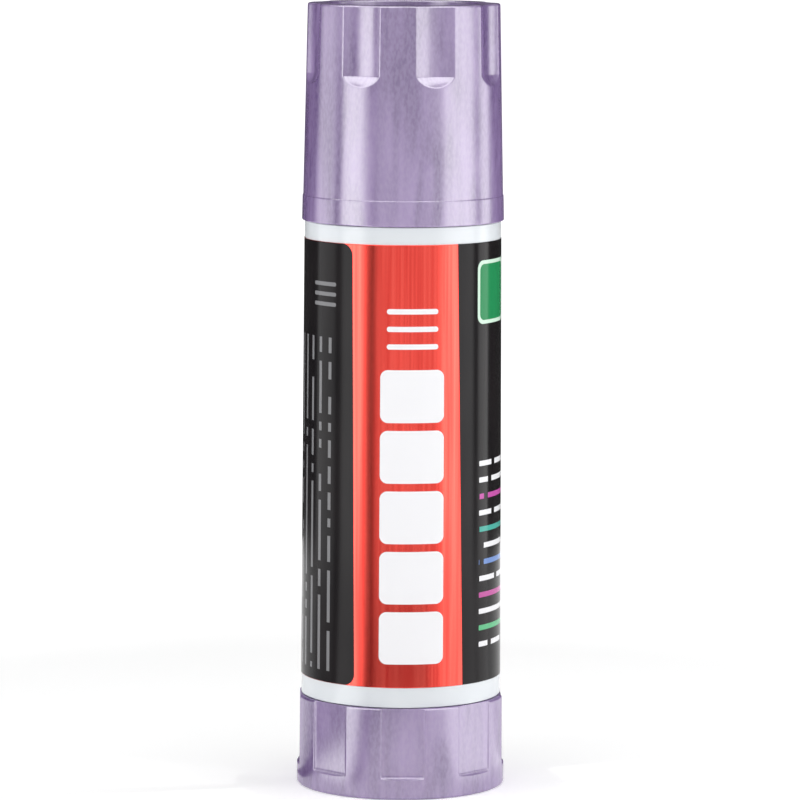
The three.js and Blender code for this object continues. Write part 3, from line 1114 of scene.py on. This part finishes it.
# %% Panels
middle = (LABEL_LOW + LABEL_TOP) / 2
half_height = (LABEL_TOP - LABEL_LOW) / 2
left_panel = box_in(slanted(-7.8, -7.05), level, (-40, middle), (40, half_height), 1.75)
right_panel = box_in(slanted(8.64, 9.73), level, (40, middle), (40, half_height + 1), 0.2)
panels = film.most(left_panel, right_panel)
print(f"the label is {2 * half_height:.1f} mm high")

# %% Blocks and bars in the strip
STRIP_MIDDLE = 1.55
BLOCKS, BLOCK_PITCH, BLOCK_LOW = 5, 9.0, 20.3
BLOCK_HALF = (4.85, 3.95)
BARS_LEVEL, BAR_PITCH = 70.2, 2.6

column_half = BLOCKS * BLOCK_PITCH / 2
column_middle = (STRIP_MIDDLE, BLOCK_LOW - 0.5 + column_half)
from_block = row_of(level, BLOCK_LOW + BLOCK_HALF[1], BLOCK_PITCH)[1]
column = all_of(
    box_in(unrolled, level, column_middle, (4.9, column_half), 0.1),
    box_in(unrolled, from_block, (STRIP_MIDDLE, 0), BLOCK_HALF, 1.2),
)
from_bar = row_of(level, BARS_LEVEL, BAR_PITCH)[1]
three_bars = all_of(
    box_in(unrolled, level, (STRIP_MIDDLE, BARS_LEVEL), (4.5, 3.8), 0.1),
    box_in(unrolled, from_bar, (STRIP_MIDDLE, 0), (3.9, 0.42), 0.4),
)
blocks = film.most(column, three_bars)

# %% Fine print on the left panel
MARKS_ACROSS = -13.4

line_number, from_line = row_of(unrolled, -20.8, 2.2)
dash_number = row_of(level, 20, 1.3)[0]
small_lines = all_of(
    box_in(unrolled, level, (-22.3, 43.5), (11.3, 25), 0.2),
    box_in(from_line, level, (0, middle), (0.34, 60), 0.2),
    film.maths("GREATER_THAN", chance(line_number, dash_number), 0.17),
)
from_mark = row_of(level, 73.4, 1.5)[1]
small_marks = all_of(
    box_in(unrolled, level, (MARKS_ACROSS, 75), (3.0, 2.5), 0.2),
    box_in(unrolled, from_mark, (MARKS_ACROSS, 0), (2.6, 0.32), 0.3),
)

# %% List and square on the right panel
LIST_MIDDLE, LIST_HALF = (25, 36.1), (11.9, 14.9)
SQUARE_MIDDLE, SQUARE_HALF, SQUARE_EDGE = (17.4, 75.2), 4.75, 0.55

list_number, from_list = row_of(level, 22.5, 2.47)
word_number = row_of(unrolled, 13.8, 1.1)[0]
list_length = chance(list_number, 7.0) * 7.0 + 24.0
list_bars = all_of(
    box_in(unrolled, level, LIST_MIDDLE, LIST_HALF, 0.2),
    box_in(unrolled, from_list, (LIST_MIDDLE[0], 0), (LIST_HALF[0], 0.42), 0.2),
    film.maths("LESS_THAN", unrolled, list_length),
    film.maths("GREATER_THAN", chance(word_number, list_number), 0.12),
)
green_square = box_in(unrolled, level, SQUARE_MIDDLE, (SQUARE_HALF, SQUARE_HALF), 1.3)
inner_half = SQUARE_HALF - SQUARE_EDGE
inner_square = box_in(unrolled, level, SQUARE_MIDDLE, (inner_half, inner_half), 1.0)
green_edge = green_square - inner_square
print("label print:", len(film.group.nodes), "nodes so far")

# %% Print colours
WHITE_INK = (0.72, 0.72, 0.74, 1)
INKS = {
    1: (0.10, 0.42, 0.20, 1),
    3: (0.46, 0.08, 0.30, 1),
    5: (0.14, 0.24, 0.52, 1),
    7: (0.06, 0.36, 0.30, 1),
    9: (0.48, 0.08, 0.34, 1),
}
LIST_ROWS = 12
ramp = film.node("ShaderNodeValToRGB")
ramp.color_ramp.interpolation = "CONSTANT"
stops = ramp.color_ramp.elements
while len(stops) < LIST_ROWS:
    stops.new(0.5)
for i in range(LIST_ROWS):
    stops[i].position = i / LIST_ROWS
    stops[i].color = INKS.get(i, WHITE_INK)
film.plug((list_number + 0.5) / LIST_ROWS, ramp.inputs[0])

# %% Label film
FOIL_DEEP, FOIL_LIGHT = (0.66, 0.05, 0.04, 1), (0.78, 0.09, 0.07, 1)
BLACK_WARM, BLACK_LIGHT = (0.008, 0.007, 0.008, 1), (0.013, 0.011, 0.012, 1)
SMALL_PRINT, SMALL_PRINT_SHARE = (0.24, 0.24, 0.25, 1), 0.8

foil_streaks = film.noise(0.5, 40)
red = film.mixed(film.between(foil_streaks), FOIL_DEEP, FOIL_LIGHT)
black_tone = film.mixed(film.between(film.noise(6, 14)), BLACK_WARM, BLACK_LIGHT)
small_print = film.most(small_lines, small_marks) * SMALL_PRINT_SHARE
colour = film.mixed(panels, red, black_tone)
colour = film.mixed(blocks, colour, (0.80, 0.80, 0.82, 1))
colour = film.mixed(small_print, colour, SMALL_PRINT)
colour = film.mixed(list_bars, colour, ramp.outputs[0])
colour = film.mixed(green_square, colour, (0.015, 0.22, 0.075, 1))
colour = film.mixed(green_edge, colour, (0.55, 0.72, 0.60, 1))
bare_foil = (1.0 - panels) * (1.0 - blocks)
ripples = film.noise(3.5, 70)
film.finish(
    {
        "Base Color": colour,
        "Metallic": bare_foil,
        "Roughness": film.between(ripples, 0.13, 0.19) + bare_foil * 0.06,
        "Normal": film.relief(foil_streaks, 0.0004, film.relief(ripples, 0.01)),
    }
)

# %% Label
label_corners = []
for label_level, skin in (
    (LABEL_LOW, LABEL_GAP),
    (LABEL_LOW, LABEL_GAP + LABEL_SKIN),
    (LABEL_TOP, LABEL_GAP + LABEL_SKIN),
    (LABEL_TOP, LABEL_GAP),
    (LABEL_LOW, LABEL_GAP),
):
    label_corners.append((barrel_radius(label_level) + skin, label_level, 0))


def outer_skin(radius, height):
    """Only the outer face of the film rises over the lap."""
    return 1.0 if radius > barrel_radius(height) + LABEL_GAP + 0.03 else 0.0


piece_from(
    "label_film_wrapped",
    profile_object("label_profile", rounded(label_corners), outer_skin),
    LAPPED,
    {
        "Steps": 576,
        "Lap angle": LAP_WIDTH / LABEL_RADIUS,
        "Lap height": LAP_HEIGHT * MM,
        "Material": film.material,
    },
    "label",
    "barrel",
)

# %% [markdown]
# ## The table
#
# The photograph shows the stick on pure white. A white table that takes all the light and glows
# a little itself gives that, and its reflection brightens the lower edge of the knob, as in the
# photograph. The glow is weaker close to the stick, so that the reflection isn't too strong.

# %% Table
TABLE_NEAR, TABLE_FAR, TABLE_SIDE = -3, 6, 4
GLOW_NEAR, GLOW_RISE = 0.24, 0.42
GLOW_FROM, GLOW_WIDTH = 0.12, 0.12

edges = [(-TABLE_SIDE, TABLE_NEAR), (TABLE_SIDE, TABLE_NEAR)]
edges += [(TABLE_SIDE, TABLE_FAR), (-TABLE_SIDE, TABLE_FAR)]
table_mesh = bpy.data.meshes.new("table")
table_mesh.from_pydata([(x, y, 0) for x, y in edges], [], [(0, 1, 2, 3)])
table = linked("table", table_mesh)

paper = Finish("table_white", {"Emission Color": (1, 1, 1, 1), "Roughness": 0.6})
paper_tone = paper.between(paper.noise(60, 60))
paper_reach = paper.length(*paper.parts(paper.place)[:2])
paper_far = paper.share((paper_reach - GLOW_FROM) / GLOW_WIDTH)
paper.finish(
    {
        "Emission Strength": paper_far * GLOW_RISE + GLOW_NEAR,
        "Base Color": paper.mixed(paper_tone, (0.86, 0.86, 0.86, 1), (0.89, 0.89, 0.89, 1)),
    }
)
table_mesh.materials.append(paper.material)

# %% [markdown]
# ## Softboxes
#
# A round glossy object mirrors the whole room in narrow upright bands: a place on its side at
# some angle shows what stands at twice that angle. So the photograph itself says where the
# lights stood. A tall softbox on the left and a wider one on the right make the two bright
# bands of the cap, and a slim strip behind each gives the second line. A large soft box overhead
# evens out the table and the top of the cap. Area lights do this better than lamps or a
# painted sky, because their edges are straight and show as clean lines in the gloss.

# %% Softboxes
BOX_REACH = 0.22
BOX_HEIGHT, BOX_MIDDLE = 0.17, 0.087
LEFT_GLOW, LEFT_STRIP_GLOW = 2.6, 0.75
RIGHT_GLOW, RIGHT_STRIP_GLOW = 2.2, 1.8
OVERHEAD_GLOW = 1.8


def direction(azimuth, elevation):
    """A unit vector from an azimuth from the front and an elevation, in degrees."""
    a, e = math.radians(azimuth), math.radians(elevation)
    return Vector((math.sin(a) * math.cos(e), -math.cos(a) * math.cos(e), math.sin(e)))


def softbox(name, azimuth, elevation, distance, width, height, centre_level, radiance):
    """A rectangular light that faces the axis; radiance is how bright its face looks."""
    light = bpy.data.lights.new(name, "AREA")
    light.shape = "RECTANGLE"
    light.size, light.size_y = width, height
    light.energy = math.pi * width * height * radiance
    made = linked(name, light)
    way = direction(azimuth, elevation)
    made.location = way * distance + Vector((0, 0, centre_level))
    made.rotation_euler = way.to_track_quat("Z", "Y").to_euler()
    made.visible_camera = False
    print(f"{name}: {light.energy:.2f} W")


def upright(name, first, last, radiance):
    """A softbox that stands on the table and fills the azimuths from first to last."""
    width = 2 * BOX_REACH * math.tan(math.radians(last - first) / 2)
    softbox(name, (first + last) / 2, 0, BOX_REACH, width, BOX_HEIGHT, BOX_MIDDLE, radiance)


upright("left_box", -72, -45, LEFT_GLOW)
upright("left_strip", -112, -84, LEFT_STRIP_GLOW)
upright("right_box", 47, 88, RIGHT_GLOW)
upright("right_strip", 97, 115, RIGHT_STRIP_GLOW)
softbox("overhead_box", 0, 90, 0.4, 0.3, 0.3, centre_level=0.105, radiance=OVERHEAD_GLOW)

# %% [markdown]
# ## Cards
#
# Product photographers stand black card beside a glossy object to draw its dark edges, and lay
# white card where a reflection would be dull. These sheets do the same, and they are seen in
# reflections only: they cast no shadow and light nothing, so the table stays even. Black ones
# stand between the softboxes and behind the stick. The camera looks down a little, so the
# mirrored rays reach the table before they reach a softbox, and a glowing card lies there in
# front of each. Two sloping shelves overhead light the slanted ends of the flutes.

# %% Card shapes
CARD_LIFT = 0.0005
CARD_STEP = 6
WALL_REACH, WALL_TOP = BOX_REACH + 0.03, 0.2
FOOT_REACH = 0.025

WALL = [(WALL_REACH, CARD_LIFT), (WALL_REACH, WALL_TOP)]
WALL_AND_TABLE = [(FOOT_REACH, CARD_LIFT), *WALL]
UNDER_FOOT = [(0.0165, 2 * CARD_LIFT), (0.1, 2 * CARD_LIFT)]
TABLE_ALL = [(FOOT_REACH, CARD_LIFT), (BOX_REACH, CARD_LIFT)]
TABLE_OUTER = [(0.08, CARD_LIFT), (BOX_REACH, CARD_LIFT)]
SHELF = [(0.26, 0.205), (0.15, 0.31)]


def card(name, first, last, outline, finish):
    """A curved sheet round the stick, seen only in reflections; the outline is (reach, level)."""
    count = max(2, round((last - first) / CARD_STEP))
    rows = len(outline)
    corners, faces = [], []
    for i in range(count + 1):
        foot = direction(first + (last - first) * i / count, 0)
        corners.extend((foot.x * reach, foot.y * reach, height) for reach, height in outline)
    for i in range(count):
        for corner in range(i * rows, (i + 1) * rows - 1):
            faces.append((corner, corner + rows, corner + rows + 1, corner + 1))
    mesh = bpy.data.meshes.new(name)
    mesh.from_pydata(corners, [], faces)
    mesh.materials.append(finish.material)
    made = linked(name, mesh)
    made.visible_camera = made.visible_diffuse = False
    made.visible_shadow = made.visible_transmission = False
    print(f"{name}: {last - first} degrees")


# %% Black cards
black = Finish("black_card", {"Base Color": (0.01, 0.01, 0.01, 1), "Roughness": 0.9})
card("left_card", -180, -114, WALL, black)
card("left_gap", -82, -74, WALL_AND_TABLE, black)
card("left_shade", -98, -76, UNDER_FOOT, black)
card("right_gap", 90, 96, WALL, black)
card("right_card", 116, 180, WALL, black)
card("front_left_card", -40, -31, WALL_AND_TABLE, black)

# %% Glowing cards
RAMP_GLOW, FRONT_GLOW, SHELF_GLOW = 1.1, 0.4, 4.0


def glowing_card(name, first, last, outline, radiance):
    """A card that shines; its light is sampled on both sides."""
    glow = {"Emission Color": (1, 1, 1, 1), "Emission Strength": radiance}
    lit = Finish(name, glow | {"Base Color": (0, 0, 0, 1), "Specular IOR Level": 0.0})
    lit.material.cycles.emission_sampling = "FRONT_BACK"
    card(name, first, last, outline, lit)


glowing_card("left_glow", -74, -45, TABLE_ALL, LEFT_GLOW)
glowing_card("left_strip_glow", -112, -82, TABLE_ALL, LEFT_STRIP_GLOW)
glowing_card("right_glow", 47, 90, TABLE_ALL, RIGHT_GLOW)
glowing_card("right_ramp", 30, 47, WALL_AND_TABLE, RAMP_GLOW)
glowing_card("right_strip_glow", 97, 115, TABLE_ALL, RIGHT_STRIP_GLOW)
glowing_card("front_shade", -31, 30, TABLE_OUTER, FRONT_GLOW)
glowing_card("left_shelf", -100, -4, SHELF, SHELF_GLOW)
glowing_card("right_shelf", 4, 90, SHELF, SHELF_GLOW)

# %% [markdown]
# ## The room
#
# What no softbox or card covers is the room: a dim grey, brighter behind the camera and above.
# It is a rule on the direction of each ray, and needs no picture of a studio.

# %% Room light
ROOM_DARK, ROOM_FRONT, ROOM_TOP = 0.2, 0.55, 0.8

world = bpy.data.worlds.new("studio")
bpy.context.scene.world = world
world.use_nodes = True
room = Nodes(world.node_tree)
backdrop = world.node_tree.nodes["Background"]
way_y, way_z = room.parts(room.node("ShaderNodeTexCoord").outputs["Generated"])[1:]
overhead = room.share((way_z - 0.5) / 0.15)
frontal = room.share((-way_y - 0.6) / 0.1)
glow = frontal * (ROOM_FRONT - ROOM_DARK) + ROOM_DARK
glow = (1.0 - overhead) * glow + overhead * ROOM_TOP
room.plug(glow, backdrop.inputs["Strength"])
backdrop.inputs["Color"].default_value = (1, 1, 1, 1)
bpy.context.scene.view_settings.view_transform = "Standard"
print(f"room light from {ROOM_DARK} to {ROOM_TOP}")
